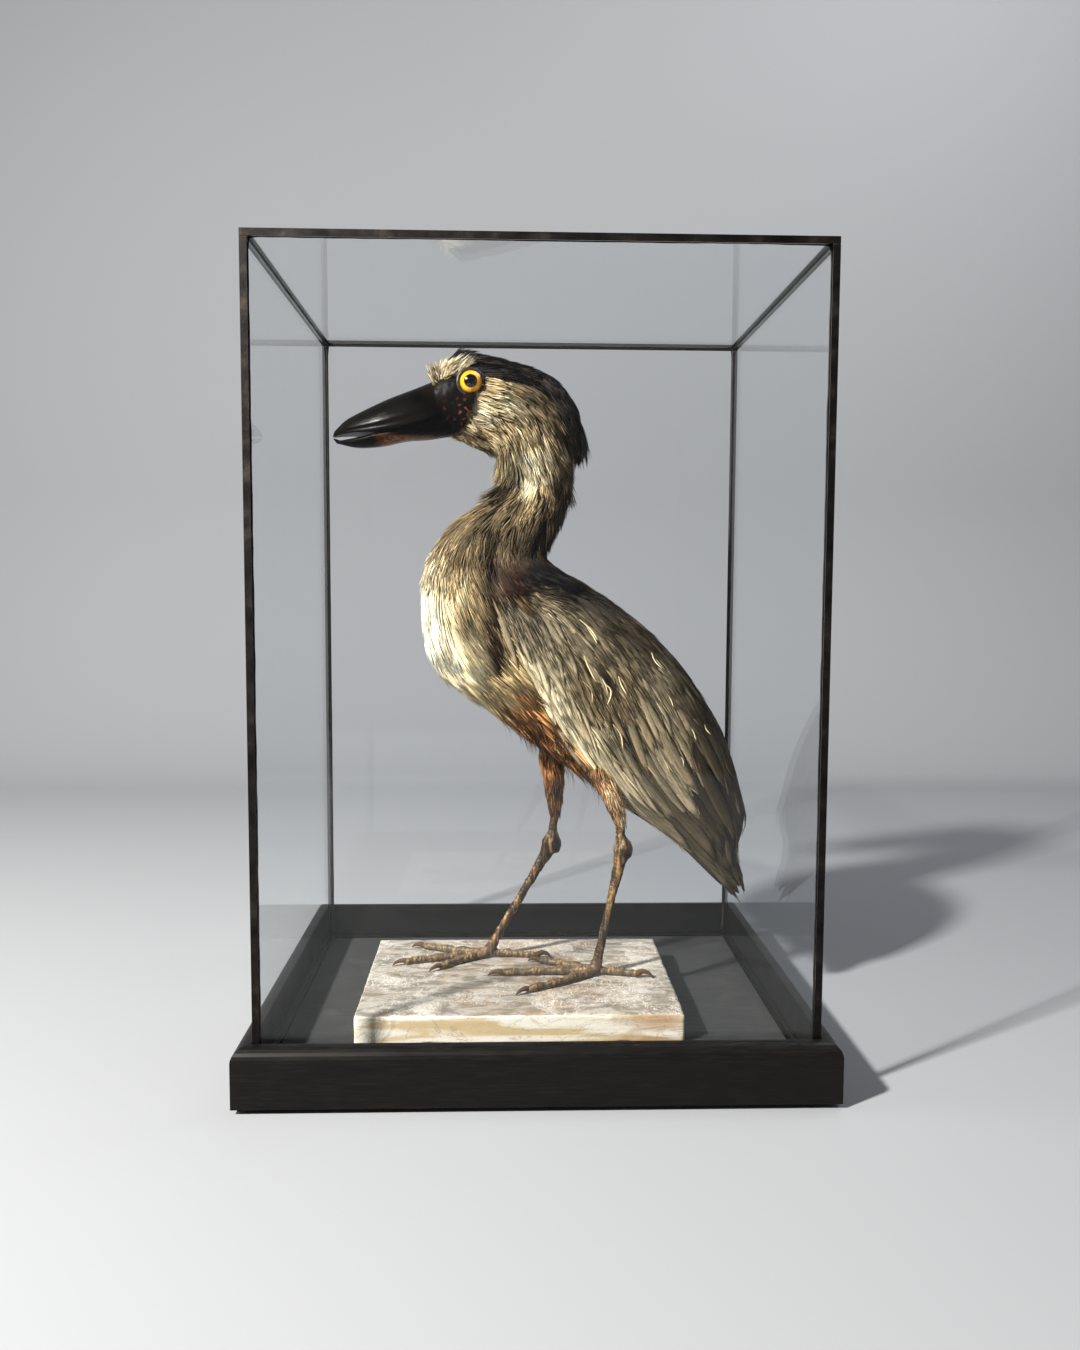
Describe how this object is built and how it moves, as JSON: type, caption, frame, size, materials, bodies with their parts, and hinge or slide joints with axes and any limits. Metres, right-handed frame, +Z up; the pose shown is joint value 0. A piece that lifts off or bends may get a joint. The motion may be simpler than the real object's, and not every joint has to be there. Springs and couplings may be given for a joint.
{
  "type": "taxidermy heron in display case",
  "caption": "Life-size mounted boat-billed heron standing on a marble slab in a glazed, metal-edged display case on a black wooden tray base.",
  "frame": {"origin": "middle of the case's underside, on the surface it stands on", "axes": "+Z up; the bird faces -X; the case's front, with the bird's left side towards it, is at -Y"},
  "size_m": [0.362, 0.305, 0.509],
  "materials": {
    "glass": "clear, faintly cool picture glass",
    "edging": "dark patinated metal channel",
    "ebonised_wood": "black lacquer, semi-gloss, lightly scratched",
    "bare_wood": "bare reddish-brown edge",
    "marble": "cream and grey-brown veined, softly polished",
    "bill_horn": "glossy dark horn, grooved lengthwise",
    "eye_glass": "painted glass taxidermy eye",
    "black_plumage": "glossy black crest feathers",
    "buff_plumage": "wispy grey-buff feathers",
    "cream_plumage": "cream breast feathers",
    "rufous_plumage": "rufous belly and flank feathers",
    "grey_plumage": "taupe-grey wing and tail feathers",
    "leg_skin": "dry scaled ochre-brown skin",
    "claw_horn": "dark horn"
  },
  "bodies": {
    "root": {"base_foot": "bare_wood", "bill_lower": "bill_horn", "bill_upper": "bill_horn", "channel_back": "edging", "channel_front": "edging", "channel_left": "edging", "channel_right": "edging", "claw_left_hind": "claw_horn", "claw_left_inner": "claw_horn", "claw_left_middle": "claw_horn", "claw_left_outer": "claw_horn", "claw_right_hind": "claw_horn", "claw_right_inner": "claw_horn", "claw_right_middle": "claw_horn", "claw_right_outer": "claw_horn", "crest": "black_plumage", "eye_left": "eye_glass", "eye_right": "eye_glass", "glass_back": "glass", "glass_front": "glass", "glass_left": "glass", "glass_right": "glass", "glass_top": "glass", "head": "buff_plumage", "marble_slab": "marble", "moulding_back": "ebonised_wood", "moulding_front": "ebonised_wood", "moulding_left": "ebonised_wood", "moulding_right": "ebonised_wood", "neck_lower": "cream_plumage", "neck_upper": "buff_plumage", "shank_left": "leg_skin", "shank_right": "leg_skin", "tail": "grey_plumage", "tarsus_left": "leg_skin", "tarsus_right": "leg_skin", "thigh_left": "rufous_plumage", "thigh_right": "rufous_plumage", "toe_left_hind": "leg_skin", "toe_left_inner": "leg_skin", "toe_left_middle": "leg_skin", "toe_left_outer": "leg_skin", "toe_right_hind": "leg_skin", "toe_right_inner": "leg_skin", "toe_right_middle": "leg_skin", "toe_right_outer": "leg_skin", "top_edge_back": "edging", "top_edge_front": "edging", "top_edge_left": "edging", "top_edge_right": "edging", "tray_floor": "ebonised_wood", "trunk": "rufous_plumage", "upright_back_left": "edging", "upright_back_right": "edging", "upright_front_left": "edging", "upright_front_right": "edging", "wing_left": "grey_plumage", "wing_right": "grey_plumage"}
  },
  "joints": []
}
